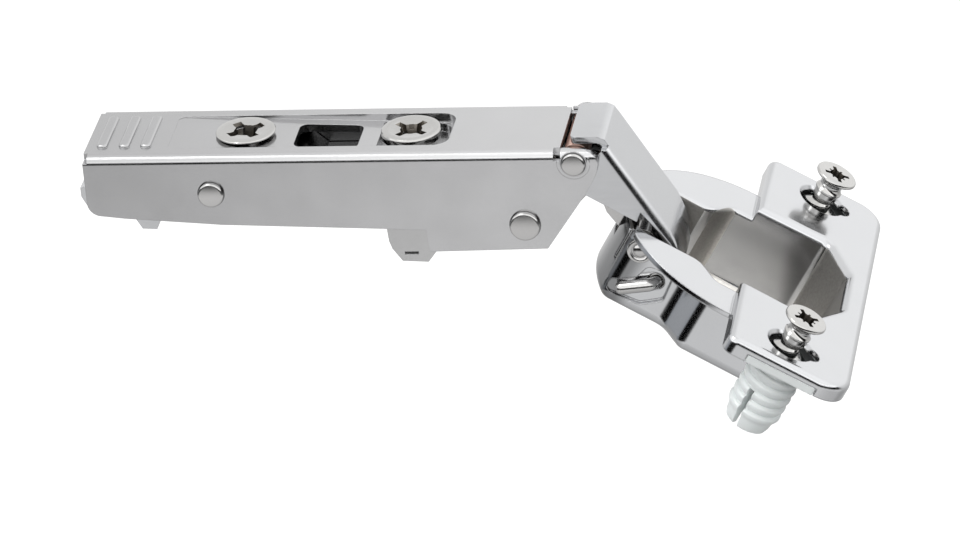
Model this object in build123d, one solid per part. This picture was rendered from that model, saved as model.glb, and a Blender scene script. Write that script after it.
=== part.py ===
from build123d import *
import math
import os

os.makedirs("parts", exist_ok=True)

# Frame: X along the arm to the front, Y across, Z up. The origin is the middle of the
# flat underside of the clip base, which rests on a cabinet's mounting plate.
# All lengths are in millimetres and angles in degrees.

# Fits
RUNNING = 0.05
SIDE_GAP = 0.2

# Arm housing, a pressed channel that opens downwards
ARM_SHEET = 1.2
ARM_HALF = 8.0
ARM_TOP = 6.2
ARM_REAR = -35.2
ARM_TOP_FRONT = 33.1
ARM_BEND = 1.3
ARM_INNER = ARM_HALF - ARM_SHEET
ARM_UNDER = ARM_TOP - ARM_SHEET
THROUGH = ARM_HALF + 1.0

# Panel pressed down into the arm's top, sloping to the front
PANEL_REAR = -23.4
PANEL_FRONT = 16.9
PANEL_HALF = 5.2
PANEL_DROP_REAR = 0.1
PANEL_DROP_FRONT = 1.5
POCKET_REAR = 6.3
POCKET_FRONT = 16.2
POCKET_HALF = 4.9
POCKET_FLOOR = 3.5
WINDOW_REAR = -5.6
WINDOW_FRONT = 3.6
WINDOW_HALF = 3.7

# Pivots in the XZ plane, with the hinge fully open
LINK_PIVOT = (35.0, 4.3)
INNER_PIVOT = (27.44, -5.15)
TILT_PIVOT = (-17.1, 0.3)
LATCH_PIVOT = (-23.2, 0.0)
PIN_R = 1.5
LINK_PIN_R = 1.3
LATCH_PIN_R = 1.1

# Cup, drawn from one sheet: its own frame has its origin at the cup's centre on the door's
# face, u to the flange, v across and w out of the door
OPEN_TILT = 30.93
CUP_CENTRE = (56.22, -14.46)
CUP_SHEET = 0.8
CUP_R = 17.5
CUP_DEPTH = 11.8
CUP_REAR_HALF = ARM_HALF + 0.4
CUP_FRONT_HALF = 12.0
CUP_LIP_R = 18.4
CUP_LIP = 0.8
WING_TOP = 2.8
WING_REAR = 0.6
WING_FRONT = 19.2
WING_HALF = 28.0
SCREW_U = 9.4
SCREW_V = 22.5
INNER_LINK_UW = (-13.62, -2.03)
OUTER_LINK_UW = (-9.47, -5.38)
CUP_INNER_PIN_R = 1.2
CUP_OUTER_PIN_R = 1.25

# Links
LINK_SHEET = 1.0
LINK_HALF = ARM_INNER - SIDE_GAP
HOOD_HALF = LINK_HALF - 1.0
INNER_LINK_HALF = LINK_HALF - LINK_SHEET - 0.7
NECK_HALF = INNER_LINK_HALF - 2.7
EYE_INNER = NECK_HALF + 0.4

# Clip base
BASE_SHEET = 1.1
BASE_HALF = ARM_INNER - SIDE_GAP
BASE_INNER = BASE_HALF - BASE_SHEET
BASE_WEB = 1.2
BASE_REAR_WEB = 2.1
BASE_REAR = -26.4
BASE_FRONT = 17.8
DEPTH_TRAVEL = 2.0

# Adjusting screws
DEPTH_SCREW_X = -12.9
SIDE_SCREW_X = 10.94
ADJUST_HEAD_R = 4.3
ADJUST_TOP = ARM_TOP + 0.3
SIDE_SHANK_R = 2.0
SIDE_NECK_R = 1.45
SIDE_FOOT_R = 2.1
TILT_ROOM = 0.15


def prism(points, y0, y1):
    """A side profile in the XZ plane, drawn out from y0 to y1."""
    face = make_face(Polyline(*points, close=True))
    return extrude(Plane.XZ.offset(-y1) * face, y1 - y0)


def both_sides(points, y0, y1):
    return prism(points, y0, y1) + prism(points, -y1, -y0)


def across(x, z, radius, y0, y1):
    """A round bar along Y."""
    return Plane.XZ.offset(-y1) * Pos(x, z, (y1 - y0) / 2) * Cylinder(radius, y1 - y0)


def block(x0, x1, y0, y1, z0, z1):
    centre = Pos((x0 + x1) / 2, (y0 + y1) / 2, (z0 + z1) / 2)
    return centre * Box(x1 - x0, y1 - y0, z1 - z0)


def upright(x, y, radius, z0, z1):
    return Pos(x, y, (z0 + z1) / 2) * Cylinder(radius, z1 - z0)


def long_edges(solid, axis, test):
    return [e for e in solid.edges().filter_by(axis) if test(e.center())]


def from_link(x, z):
    """A point given from the outer link's pivot in the arm."""
    return (LINK_PIVOT[0] + x, LINK_PIVOT[1] + z)


tilt = math.radians(OPEN_TILT)
cup_frame = Plane(
    origin=(CUP_CENTRE[0], 0, CUP_CENTRE[1]),
    x_dir=(math.cos(tilt), 0, -math.sin(tilt)),
    z_dir=(math.sin(tilt), 0, math.cos(tilt)),
)


def in_door(u, w):
    """A point of the cup's frame, as X and Z of the arm's frame."""
    x = CUP_CENTRE[0] + u * math.cos(tilt) + w * math.sin(tilt)
    z = CUP_CENTRE[1] - u * math.sin(tilt) + w * math.cos(tilt)
    return (x, z)


CUP_INNER_PIVOT = in_door(*INNER_LINK_UW)
CUP_OUTER_PIVOT = in_door(*OUTER_LINK_UW)


# Arm housing
channel = block(ARM_REAR, 40.0, -ARM_HALF, ARM_HALF, -14.0, ARM_TOP)
channel = fillet(
    long_edges(channel, Axis.X, lambda c: c.Z > ARM_TOP - 0.1), ARM_BEND
)
channel = channel - block(ARM_REAR - 1, 41.0, -ARM_INNER, ARM_INNER, -15.0, ARM_UNDER)
channel = channel - block(
    ARM_TOP_FRONT, 41.0, -ARM_INNER, ARM_INNER, -15.0, ARM_TOP + 1
)
wall_line = [
    (ARM_REAR, ARM_TOP + 1),
    (ARM_REAR, -2.8),
    (-30.0, -3.45),
    (-16.0, -4.6),
    (6.9, -5.5),
    (13.2, -5.8),
    (13.4, -9.2),
    (30.4, -8.9),
    (36.3, -0.55),
    (38.1, 2.6),
    (38.47, 4.3),
    (38.2, 5.2),
    (37.4, 5.85),
    (36.2, 6.1),
    (34.6, 6.15),
    (ARM_TOP_FRONT, ARM_TOP - 0.05),
    (ARM_TOP_FRONT - 0.6, ARM_TOP + 1),
]
wall_form = prism(wall_line, -ARM_HALF - 1, ARM_HALF + 1)
wall_form = fillet(
    long_edges(wall_form, Axis.Y, lambda c: c.X < ARM_REAR + 1 and c.Z < 0), 2.0
)
hinge_arm = channel & wall_form

panel_press = prism(
    [
        (PANEL_REAR - 0.6, ARM_UNDER + 0.2),
        (PANEL_REAR - 0.6, ARM_UNDER - PANEL_DROP_REAR),
        (PANEL_FRONT + 0.8, ARM_UNDER - PANEL_DROP_FRONT),
        (PANEL_FRONT + 0.8, ARM_UNDER + 0.2),
    ],
    -PANEL_HALF - 0.6,
    PANEL_HALF + 0.6,
)
pocket_press = block(
    POCKET_REAR - 1.0,
    PANEL_FRONT + 0.8,
    -PANEL_HALF - 0.6,
    PANEL_HALF + 0.6,
    POCKET_FLOOR - ARM_SHEET,
    ARM_UNDER,
)
hinge_arm = hinge_arm + panel_press + pocket_press

panel_cut = prism(
    [
        (PANEL_REAR, ARM_TOP + 1),
        (PANEL_REAR, ARM_TOP - PANEL_DROP_REAR),
        (PANEL_FRONT, ARM_TOP - PANEL_DROP_FRONT),
        (PANEL_FRONT, ARM_TOP + 1),
    ],
    -PANEL_HALF,
    PANEL_HALF,
)
panel_cut = fillet(long_edges(panel_cut, Axis.Z, lambda c: c.X > 10), 2.4)
panel_cut = fillet(long_edges(panel_cut, Axis.Z, lambda c: c.X < -10), 1.0)
pocket_cut = block(
    POCKET_REAR, POCKET_FRONT, -POCKET_HALF, POCKET_HALF, POCKET_FLOOR, ARM_TOP + 1
)
pocket_cut = fillet(long_edges(pocket_cut, Axis.Z, lambda c: c.X > 10), 2.2)
pocket_cut = fillet(long_edges(pocket_cut, Axis.Z, lambda c: c.X < 10), 0.4)
window_cut = block(
    WINDOW_REAR, WINDOW_FRONT, -WINDOW_HALF, WINDOW_HALF, 0.0, ARM_TOP + 1
)
window_cut = fillet(window_cut.edges().filter_by(Axis.Z), 1.2)
hinge_arm = hinge_arm - panel_cut - pocket_cut - window_cut

# Thumb ribs across the top at the rear
RIB_X = (-33.7, -30.5, -27.4)
RIB_WIDTH = 1.6
RIB_HALF = 4.9
RIB_HEIGHT = 0.45
for rib_x in RIB_X:
    rib = block(
        rib_x, rib_x + RIB_WIDTH, -RIB_HALF, RIB_HALF, ARM_TOP - 0.3, ARM_TOP + RIB_HEIGHT
    )
    rib = fillet(rib.edges().filter_by(Axis.Z), 0.6)
    rib = fillet(rib.edges().group_by(Axis.Z)[-1], 0.4)
    hinge_arm = hinge_arm + rib

# Relief notches where the bends stop, at both ends of the top
for side in (-1, 1):
    y_a, y_b = sorted((side * (ARM_INNER - 0.3), side * (ARM_HALF + 0.5)))
    hinge_arm = hinge_arm - block(
        ARM_TOP_FRONT - 0.9, ARM_TOP_FRONT + 0.1, y_a, y_b, ARM_TOP - 1.5, ARM_TOP + 1
    )
    hinge_arm = hinge_arm - block(
        ARM_REAR - 1, ARM_REAR + 0.6, y_a, y_b, ARM_TOP - 1.0, ARM_TOP + 1
    )

hinge_arm = (
    hinge_arm
    - across(*LINK_PIVOT, LINK_PIN_R, -THROUGH, THROUGH)
    - across(*INNER_PIVOT, PIN_R, -THROUGH, THROUGH)
    - across(*TILT_PIVOT, PIN_R + RUNNING, -THROUGH, THROUGH)
    - upright(DEPTH_SCREW_X, 0, 2.2 + RUNNING, 0, 8)
    - upright(SIDE_SCREW_X, 0, SIDE_SHANK_R + TILT_ROOM, 0, 8)
)


HEAD_ROUND = 0.25
HEAD_GAP = 0.05


def rivet(pivot, shank_r, head_r, head, clear=0.0):
    """A shank through both walls with a low round head on each side, clear of the walls."""
    seat = ARM_HALF + clear
    body = across(*pivot, shank_r, -seat, seat)
    for y0, y1 in ((-seat - head, -seat), (seat, seat + head)):
        disc = across(*pivot, head_r, y0, y1)
        rims = disc.edges().filter_by(GeomType.CIRCLE).sort_by(Axis.Y)
        body = body + fillet(rims[-1] if y0 > 0 else rims[0], HEAD_ROUND)
    return body


LINK_HEAD_R = 1.7
link_rivet = rivet(LINK_PIVOT, LINK_PIN_R, LINK_HEAD_R, 0.6)
inner_rivet = rivet(INNER_PIVOT, PIN_R, 2.15, 0.8)
tilt_rivet = rivet(TILT_PIVOT, PIN_R, 1.85, 0.7, HEAD_GAP)

# Raised ring of the arm's sheet round the link rivet's heads
BOSS_R = LINK_HEAD_R + 0.25
BOSS_HEIGHT = 0.1
for y0, y1 in ((-ARM_HALF - BOSS_HEIGHT, -ARM_HALF), (ARM_HALF, ARM_HALF + BOSS_HEIGHT)):
    boss = across(*LINK_PIVOT, BOSS_R, y0, y1) - across(*LINK_PIVOT, LINK_HEAD_R, y0, y1)
    hinge_arm = hinge_arm + boss

# Bronze bush round the link rivet, between the outer link's cheeks
BUSH_R = 1.8
BUSH_HALF = LINK_HALF - LINK_SHEET - 0.3
pivot_bush = across(*LINK_PIVOT, BUSH_R, -BUSH_HALF, BUSH_HALF) - across(
    *LINK_PIVOT, LINK_PIN_R, -THROUGH, THROUGH
)

# Leaf spring under the arm's top that loads the links when the door closes
SPRING_SHEET = 0.5
SPRING_HALF = 3.4
spring_line = [
    (18.6, ARM_UNDER),
    (24.5, ARM_UNDER),
    (28.5, ARM_UNDER - 0.9),
    (31.6, ARM_UNDER - 2.6),
    (31.2, ARM_UNDER - 3.1),
    (28.2, ARM_UNDER - 1.45),
    (24.4, ARM_UNDER - SPRING_SHEET),
    (18.6, ARM_UNDER - SPRING_SHEET),
]
closing_spring = prism(spring_line, -SPRING_HALF, SPRING_HALF)

# Outer link: one pressed channel with a hood over the pivot and two eyes in the cup
link_side = [
    from_link(-0.6, 3.0),
    from_link(3.3, 3.0),
    from_link(4.3, 2.55),
    from_link(4.95, 1.5),
    from_link(12.4, -11.2),
    from_link(13.35, -13.7),
    from_link(13.6, -16.2),
    from_link(13.45, -19.2),
    from_link(12.7, -21.2),
    from_link(11.6, -20.8),
    from_link(12.0, -14.2),
    from_link(10.9, -11.3),
    from_link(8.7, -8.4),
    from_link(8.1, -9.9),
    from_link(-0.7, -4.45),
    from_link(-1.9, -0.6),
    from_link(-1.9, 2.0),
    from_link(-0.6, 2.0),
]
link_void = [
    from_link(-4.0, 2.0),
    from_link(3.1, 2.0),
    from_link(3.65, 1.75),
    from_link(4.05, 1.1),
    from_link(11.5, -11.6),
    from_link(12.4, -14.0),
    from_link(12.6, -16.2),
    from_link(12.4, -19.0),
    from_link(11.75, -21.5),
    from_link(4.0, -21.5),
    from_link(-4.0, -12.0),
]
hood_gap = [
    from_link(-4.0, 2.0),
    from_link(3.1, 2.0),
    from_link(3.65, 1.75),
    from_link(3.9, 1.2),
    from_link(3.2, 0.55),
    from_link(1.75, 1.0),
    from_link(0.9, 1.8),
    from_link(0.0, 1.98),
    from_link(-2.0, 1.98),
    from_link(-2.0, 0.0),
    from_link(-4.0, 0.0),
]
link_body = prism(link_side, -LINK_HALF, LINK_HALF)


def on_link_front(edge):
    """Long edges of the link's web, at its two sides."""
    centre = edge.center()
    x = centre.X - LINK_PIVOT[0]
    z = centre.Z - LINK_PIVOT[1]
    beyond_web = x > 4.4 + (1.6 - z) * 0.57
    return abs(abs(centre.Y) - LINK_HALF) < 0.01 and beyond_web and z < 1.6


LINK_BEND = 1.2
link_body = fillet([e for e in link_body.edges() if on_link_front(e)], LINK_BEND)
hood_trim = block(30.0, 38.9, HOOD_HALF, THROUGH, 5.7, 8.0) + block(
    30.0, 38.9, -THROUGH, -HOOD_HALF, 5.7, 8.0
)
hood_trim = hood_trim + both_sides(
    [(38.8, 8.0), (38.8, 5.7), (39.4, 5.5), (40.3, 6.2), (41.0, 8.0)], HOOD_HALF, THROUGH
)
outer_link = (
    link_body
    - prism(link_void, -LINK_HALF + LINK_SHEET, LINK_HALF - LINK_SHEET)
    - both_sides(hood_gap, LINK_HALF - LINK_SHEET - 0.1, THROUGH)
    - hood_trim
)
hood_corners = [
    e
    for e in outer_link.edges().filter_by(Axis.Z)
    if e.center().X < LINK_PIVOT[0] and e.center().Z > LINK_PIVOT[1] + 1.9
]
outer_link = fillet(hood_corners, 0.9)
eye_r = 2.9
for y0, y1 in ((EYE_INNER, LINK_HALF), (-LINK_HALF, -EYE_INNER)):
    outer_link = outer_link + across(*CUP_OUTER_PIVOT, eye_r, y0, y1)
outer_link = (
    outer_link
    - across(*CUP_OUTER_PIVOT, CUP_OUTER_PIN_R + RUNNING, -THROUGH, THROUGH)
    - across(*LINK_PIVOT, LINK_PIN_R + RUNNING, -THROUGH, THROUGH)
)

# Inner link: two slotted cheeks under a web, a curved neck and a tube for the cup's pin
TUBE_R = 1.85
TUBE_HALF = INNER_LINK_HALF + 0.5
SLOT_CORNER = 2.0
slot_rear, slot_front = LINK_PIVOT[0] - 9.4, LINK_PIVOT[0] - 1.55
slot_low, slot_high = LINK_PIVOT[1] - 11.85, LINK_PIVOT[1] - 6.1
slot_face = RectangleRounded(slot_front - slot_rear, slot_high - slot_low, SLOT_CORNER)
slot_centre = Pos((slot_front + slot_rear) / 2, (slot_high + slot_low) / 2)
slot_cut = extrude(Plane.XZ.offset(-THROUGH) * slot_centre * slot_face, 2 * THROUGH)
inner_cheek_line = [
    from_link(-10.3, -11.2),
    from_link(-10.3, -6.4),
    from_link(-9.2, -5.2),
    from_link(-2.5, -4.9),
    from_link(1.0, -4.1),
    from_link(3.2, -4.6),
    from_link(3.2, -7.3),
    from_link(1.0, -6.4),
    from_link(-0.75, -8.2),
    from_link(-1.6, -8.6),
    from_link(-4.2, -12.7),
    from_link(-8.8, -12.7),
]
inner_cheeks = both_sides(inner_cheek_line, INNER_LINK_HALF - 1.0, INNER_LINK_HALF)
inner_web = prism(
    [
        from_link(-9.2, -5.2),
        from_link(-2.5, -4.9),
        from_link(1.0, -4.1),
        from_link(3.2, -4.6),
        from_link(3.2, -7.3),
        from_link(1.0, -6.4),
        from_link(-1.2, -5.9),
        from_link(-9.0, -6.0),
    ],
    -INNER_LINK_HALF,
    INNER_LINK_HALF,
)
neck = prism(
    [
        from_link(2.6, -4.5),
        from_link(4.2, -5.0),
        from_link(5.3, -6.6),
        from_link(5.0, -8.4),
        from_link(5.5, -10.0),
        from_link(7.0, -11.2),
        from_link(8.6, -11.9),
        from_link(8.2, -14.2),
        from_link(6.6, -14.0),
        from_link(4.7, -12.6),
        from_link(3.2, -10.4),
        from_link(2.7, -8.6),
        from_link(2.6, -7.2),
    ],
    -NECK_HALF,
    NECK_HALF,
)
tube = across(*CUP_INNER_PIVOT, TUBE_R, -TUBE_HALF, TUBE_HALF)
inner_link = (
    inner_web
    + inner_cheeks
    + neck
    + tube
    - across(*CUP_INNER_PIVOT, CUP_INNER_PIN_R + RUNNING, -THROUGH, THROUGH)
    - slot_cut
)

# Cup
cup_line = [
    (-15.35, -CUP_REAR_HALF),
    (-5.8, -CUP_REAR_HALF - 0.2),
    (-2.8, -CUP_FRONT_HALF),
    (12.2, -CUP_FRONT_HALF - 0.3),
    (16.4, -5.6),
    (16.4, 5.6),
    (12.2, CUP_FRONT_HALF + 0.3),
    (-2.8, CUP_FRONT_HALF),
    (-5.8, CUP_REAR_HALF + 0.2),
    (-15.35, CUP_REAR_HALF),
]


def cup_outline():
    rear = ThreePointArc(cup_line[-1], (-CUP_R, 0), cup_line[0])
    face = make_face([*Polyline(*cup_line).edges(), rear.edge()])
    face = fillet([v for v in face.vertices() if v.X < 13], 2.2)
    return fillet([v for v in face.vertices() if v.X > 16], 2.5)


outline = cup_outline()
inner_outline = offset(outline, -CUP_SHEET, kind=Kind.ARC)
LIP_MOUTH_R = 0.7
WING_MOUTH_R = 1.2
SKIRT_GAP = 0.1
SEAM = WING_REAR + 0.4


def cup_shell(plate, top, mouth_r):
    """The drawn cup under a flat plate, with a rounded mouth at the plate's top."""
    shell = extrude(Pos(0, 0, -CUP_DEPTH) * outline, CUP_DEPTH + top)
    shell = fillet(shell.edges().group_by(Axis.Z)[0], 2.0) + plate
    hollow = extrude(Pos(0, 0, -CUP_DEPTH + CUP_SHEET) * inner_outline, CUP_DEPTH + top)
    shell = shell - fillet(hollow.edges().group_by(Axis.Z)[0], 1.2)
    mouth = [
        e
        for e in shell.edges().group_by(Axis.Z)[-1]
        if abs(e.center().Y) < 12.5 and -17 < e.center().X < 16
    ]
    return fillet(mouth, mouth_r)


# Round lips at door level, one on each side of the mouth
LIP_REAR = -15.6
lip_plate = upright(0, 0, CUP_LIP_R, 0, CUP_LIP)
BEYOND = CUP_LIP_R + 1.5
BELOW = -CUP_DEPTH - 1.5
rear_shell = cup_shell(lip_plate, CUP_LIP, LIP_MOUTH_R) & (
    block(LIP_REAR, SEAM, -BEYOND, BEYOND, BELOW, WING_TOP)
    + block(-BEYOND, LIP_REAR, -BEYOND, BEYOND, BELOW, 0)
)
LIP_ROOT_R = 0.4
lip_roots = [
    e
    for e in rear_shell.edges()
    if abs(e.center().Z) < 0.001
    and CUP_REAR_HALF - 2.3 < abs(e.center().Y) < CUP_FRONT_HALF + 0.1
    and LIP_REAR + 0.02 < e.center().X < SEAM - 0.02
    and math.hypot(e.center().X, e.center().Y) < CUP_LIP_R - 0.5
]
rear_shell = fillet(lip_roots, LIP_ROOT_R)

# Raised wings in front of them, hollow below
wing_form = block(WING_REAR, WING_FRONT, -WING_HALF, WING_HALF, SKIRT_GAP, WING_TOP)
wing_form = fillet(long_edges(wing_form, Axis.Z, lambda c: c.X > 5), 4.2)
wing_form = fillet(long_edges(wing_form, Axis.Z, lambda c: c.X < 5), 1.6)
wing_form = fillet(wing_form.edges().group_by(Axis.Z)[-1], 1.0)
wing_void = block(
    WING_REAR + CUP_SHEET,
    WING_FRONT - CUP_SHEET,
    -WING_HALF + CUP_SHEET,
    WING_HALF - CUP_SHEET,
    -1,
    WING_TOP - CUP_SHEET,
)
wing_void = fillet(long_edges(wing_void, Axis.Z, lambda c: c.X > 5), 3.4)
wing_void = fillet(long_edges(wing_void, Axis.Z, lambda c: c.X < 5), 0.8)
cup_wall = extrude(Pos(0, 0, -1) * outline, WING_TOP + 2)
wing_slab = block(-BEYOND, BEYOND, -WING_HALF - 2, WING_HALF + 2, SKIRT_GAP, WING_TOP)
front_shell = cup_shell(wing_slab, WING_TOP, WING_MOUTH_R) & (
    wing_form + block(SEAM, BEYOND, -BEYOND, BEYOND, BELOW, SKIRT_GAP)
)
front_shell = front_shell - (wing_void - cup_wall)
cup = rear_shell + front_shell

# The rear wall stands free of the side walls at its top
REAR_WALL_FRONT = -14.4
REAR_NOTCH_HALF = 2.8
REAR_SLOT_INNER = 6.5
REAR_SLOT_OUTER = 7.2
cup = cup - block(-BEYOND, REAR_WALL_FRONT, -REAR_SLOT_OUTER, REAR_SLOT_OUTER, -0.6, WING_TOP)
cup = cup - block(-BEYOND, REAR_WALL_FRONT, -REAR_NOTCH_HALF, REAR_NOTCH_HALF, -4.4, WING_TOP)
for y0, y1 in ((-REAR_SLOT_OUTER, -REAR_SLOT_INNER), (REAR_SLOT_INNER, REAR_SLOT_OUTER)):
    cup = cup - block(-BEYOND, REAR_WALL_FRONT + 0.4, y0, y1, -5.5, WING_TOP)

# Recess in the near wall for the outer link pin's bent end
RECESS_FLOOR = CUP_REAR_HALF - 0.45
recess_line = [
    (-7.7, -3.2),
    (-7.3, -7.4),
    (-10.0, -9.6),
    (-15.4, -10.1),
    (-15.2, -8.0),
    (-12.4, -6.8),
    (-11.5, -3.6),
]
recess_face = make_face(Polyline(*recess_line, close=True))
recess_face = fillet(recess_face.vertices(), 1.0)
recess_back = offset(recess_face, 0.5, kind=Kind.ARC)
recess_bump = extrude(Plane.XZ.offset(RECESS_FLOOR - CUP_SHEET) * recess_back, 0.6)
recess_cut = extrude(Plane.XZ.offset(RECESS_FLOOR) * recess_face, 2.0)
cup = cup + recess_bump - recess_cut

# Screw holes with a slot beside each, and the gaps that hold the dowels' collars
HOLE_R = 3.1
HOLE_SLOT_HALF = 1.6
COLLAR_REAR = 4.1
COLLAR_FRONT = 14.8
for side in (-1, 1):
    hole = upright(SCREW_U, side * SCREW_V, HOLE_R, WING_TOP - 2, WING_TOP + 1)
    slot = block(
        SCREW_U,
        SCREW_U + 2.9,
        side * SCREW_V - HOLE_SLOT_HALF,
        side * SCREW_V + HOLE_SLOT_HALF,
        WING_TOP - 2,
        WING_TOP + 1,
    )
    slot_end = upright(
        SCREW_U + 2.9, side * SCREW_V, HOLE_SLOT_HALF, WING_TOP - 2, WING_TOP + 1
    )
    y_a, y_b = sorted((side * (WING_HALF - 2), side * (WING_HALF + 1)))
    gap = block(COLLAR_REAR, COLLAR_FRONT, y_a, y_b, -1, 1.3)
    cup = cup - hole - slot - slot_end - gap
    rim = Pos(SCREW_U, side * SCREW_V, WING_TOP) * Cone(HOLE_R, HOLE_R + 1.0, 1.0)
    cup = cup - rim
cup = (
    cup
    - across(*INNER_LINK_UW, CUP_INNER_PIN_R, -20, 20)
    - across(*OUTER_LINK_UW, CUP_OUTER_PIN_R, -20, 20)
)

# Pins in the cup, flush at the far side
PIN_FLUSH = CUP_REAR_HALF - 0.05
inner_pin = across(*INNER_LINK_UW, CUP_INNER_PIN_R, -CUP_REAR_HALF - 0.3, PIN_FLUSH)
BAR_R = 0.85
BAR_Y = RECESS_FLOOR + BAR_R
BAR_END = (-14.2, -8.8)
outer_leg = across(*OUTER_LINK_UW, CUP_OUTER_PIN_R, -BAR_Y, PIN_FLUSH)
bar_run = math.hypot(BAR_END[0] - OUTER_LINK_UW[0], BAR_END[1] - OUTER_LINK_UW[1])
bar_angle = math.degrees(
    math.atan2(BAR_END[1] - OUTER_LINK_UW[1], BAR_END[0] - OUTER_LINK_UW[0])
)
bar = (
    Pos(OUTER_LINK_UW[0], -BAR_Y, OUTER_LINK_UW[1])
    * Rot(0, 90 - bar_angle, 0)
    * Cylinder(BAR_R, bar_run, align=(Align.CENTER, Align.CENTER, Align.MIN))
)
bar_tip = Pos(BAR_END[0], -BAR_Y, BAR_END[1]) * Sphere(BAR_R)
elbow = Pos(OUTER_LINK_UW[0], -BAR_Y, OUTER_LINK_UW[1]) * Sphere(CUP_OUTER_PIN_R)
outer_pin = outer_leg + elbow + bar + bar_tip

# Knock-in dowels and their screws, which stand part driven
DOWEL_R = 3.5
BARB_R = 4.0
DOWEL_DEPTH = 11.0
SCREW_SHANK_R = 1.9
SCREW_HEAD_R = 3.1
SCREW_TOP = 7.7
BARB_START = 1.6
BARB_LAND = 0.6
BARB_PITCH = 2.0
TIP_LENGTH = 1.4
barb_count = round((DOWEL_DEPTH - TIP_LENGTH - BARB_START) / BARB_PITCH - 0.49)
dowel_line = [(0, 0.2), (DOWEL_R, 0.2)]
for step in range(barb_count):
    barb_top = -BARB_START - BARB_PITCH * step
    dowel_line += [
        (DOWEL_R, barb_top),
        (BARB_R, barb_top),
        (BARB_R, barb_top - BARB_LAND),
        (DOWEL_R, barb_top - BARB_PITCH + 0.2),
    ]
dowel_line += [(DOWEL_R - 0.5, -DOWEL_DEPTH), (0, -DOWEL_DEPTH)]
dowel_blank = revolve(Plane.XZ * make_face(Polyline(*dowel_line, close=True)), Axis.Z)
collar = block(
    COLLAR_REAR - SCREW_U + 0.1,
    COLLAR_FRONT - SCREW_U - 0.1,
    -4.4,
    WING_HALF - SCREW_V,
    0,
    1.25,
)
collar = fillet([e for e in collar.edges().filter_by(Axis.Z) if e.center().Y < 0], 1.5)
dowel_blank = dowel_blank + collar - upright(0, 0, SCREW_SHANK_R, -DOWEL_DEPTH - 1, 3)
SPLIT_HALF = 0.4
dowel_blank = dowel_blank - block(-6, 6, -SPLIT_HALF, SPLIT_HALF, -DOWEL_DEPTH - 1, -3.0)
dowel_far = Pos(SCREW_U, SCREW_V, 0) * dowel_blank
dowel_near = Pos(SCREW_U, -SCREW_V, 0) * mirror(dowel_blank, Plane.XZ)

screw_line = [
    (0, SCREW_TOP),
    (SCREW_HEAD_R, SCREW_TOP),
    (SCREW_HEAD_R, SCREW_TOP - 0.5),
    (1.65, SCREW_TOP - 1.6),
    (1.65, SCREW_TOP - 2.4),
    (SCREW_SHANK_R, SCREW_TOP - 2.8),
    (SCREW_SHANK_R, -6.0),
    (0, -7.6),
]
screw_blank = revolve(Plane.XZ * make_face(Polyline(*screw_line, close=True)), Axis.Z)
RECESS_HALF = 1.75
recess = block(-RECESS_HALF, RECESS_HALF, -0.4, 0.4, SCREW_TOP - 1.3, SCREW_TOP + 1)
recess = recess + Rot(0, 0, 90) * recess + upright(0, 0, 0.9, SCREW_TOP - 1.6, SCREW_TOP + 1)
screw_blank = screw_blank - recess
screw_far = Pos(SCREW_U, SCREW_V, 0) * Rot(0, 0, 20) * screw_blank
screw_near = Pos(SCREW_U, -SCREW_V, 0) * Rot(0, 0, 30) * screw_blank

# Clip base
web_line = [
    (-20.9, BASE_REAR_WEB + BASE_SHEET),
    (-4.6, BASE_REAR_WEB + BASE_SHEET),
    (-2.4, BASE_WEB),
    (BASE_FRONT, BASE_WEB),
    (BASE_FRONT, 0.0),
    (-3.0, 0.0),
    (-5.2, BASE_REAR_WEB),
    (-20.9, BASE_REAR_WEB),
]
base_wall_line = [
    (BASE_REAR, 1.6),
    (-21.0, BASE_REAR_WEB + BASE_SHEET),
    (-4.6, BASE_REAR_WEB + BASE_SHEET),
    (-2.4, BASE_WEB),
    (BASE_FRONT, BASE_WEB),
    (BASE_FRONT, -3.6),
    (14.3, -5.0),
    (14.3, -9.7),
    (12.9, -11.5),
    (9.2, -11.3),
    (7.9, -9.4),
    (7.5, -8.2),
    (7.3, -5.6),
    (-16.0, -4.3),
    (BASE_REAR, -3.2),
]
clip_base = prism(web_line, -BASE_HALF, BASE_HALF) + both_sides(
    base_wall_line, BASE_INNER, BASE_HALF
)
tilt_slot_r = PIN_R + RUNNING
tilt_slot_rear = TILT_PIVOT[0] - DEPTH_TRAVEL
tilt_slot_front = TILT_PIVOT[0] + DEPTH_TRAVEL
tilt_slot = block(
    tilt_slot_rear,
    tilt_slot_front,
    -THROUGH,
    THROUGH,
    TILT_PIVOT[1] - tilt_slot_r,
    TILT_PIVOT[1] + tilt_slot_r,
)
for slot_x in (tilt_slot_rear, tilt_slot_front):
    tilt_slot = tilt_slot + across(slot_x, TILT_PIVOT[1], tilt_slot_r, -THROUGH, THROUGH)
CAM_PIN_R = 1.2
CAM_OFFSET = 2.0
cam_slot = block(
    DEPTH_SCREW_X - CAM_PIN_R - 0.55, DEPTH_SCREW_X + CAM_PIN_R + 0.55, -3.7, 1.7, 1, 4
)
KEY_HOLE_X = 15.2
KEY_STEP = 0.6
key_half = SIDE_NECK_R + 0.1
foot_half = SIDE_FOOT_R + 0.1
side_slot = (
    block(SIDE_SCREW_X - DEPTH_TRAVEL, KEY_HOLE_X, -key_half, key_half, -1, 2)
    + upright(SIDE_SCREW_X - DEPTH_TRAVEL, 0, key_half, -1, 2)
    + block(SIDE_SCREW_X - DEPTH_TRAVEL, KEY_HOLE_X, -foot_half, foot_half, -1, KEY_STEP)
    + upright(SIDE_SCREW_X - DEPTH_TRAVEL, 0, foot_half, -1, KEY_STEP)
    + upright(KEY_HOLE_X, 0, foot_half, -1, 2)
)
hook_slits = block(9.6, 11.6, -THROUGH, THROUGH, -10.3, -9.85)
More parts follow.
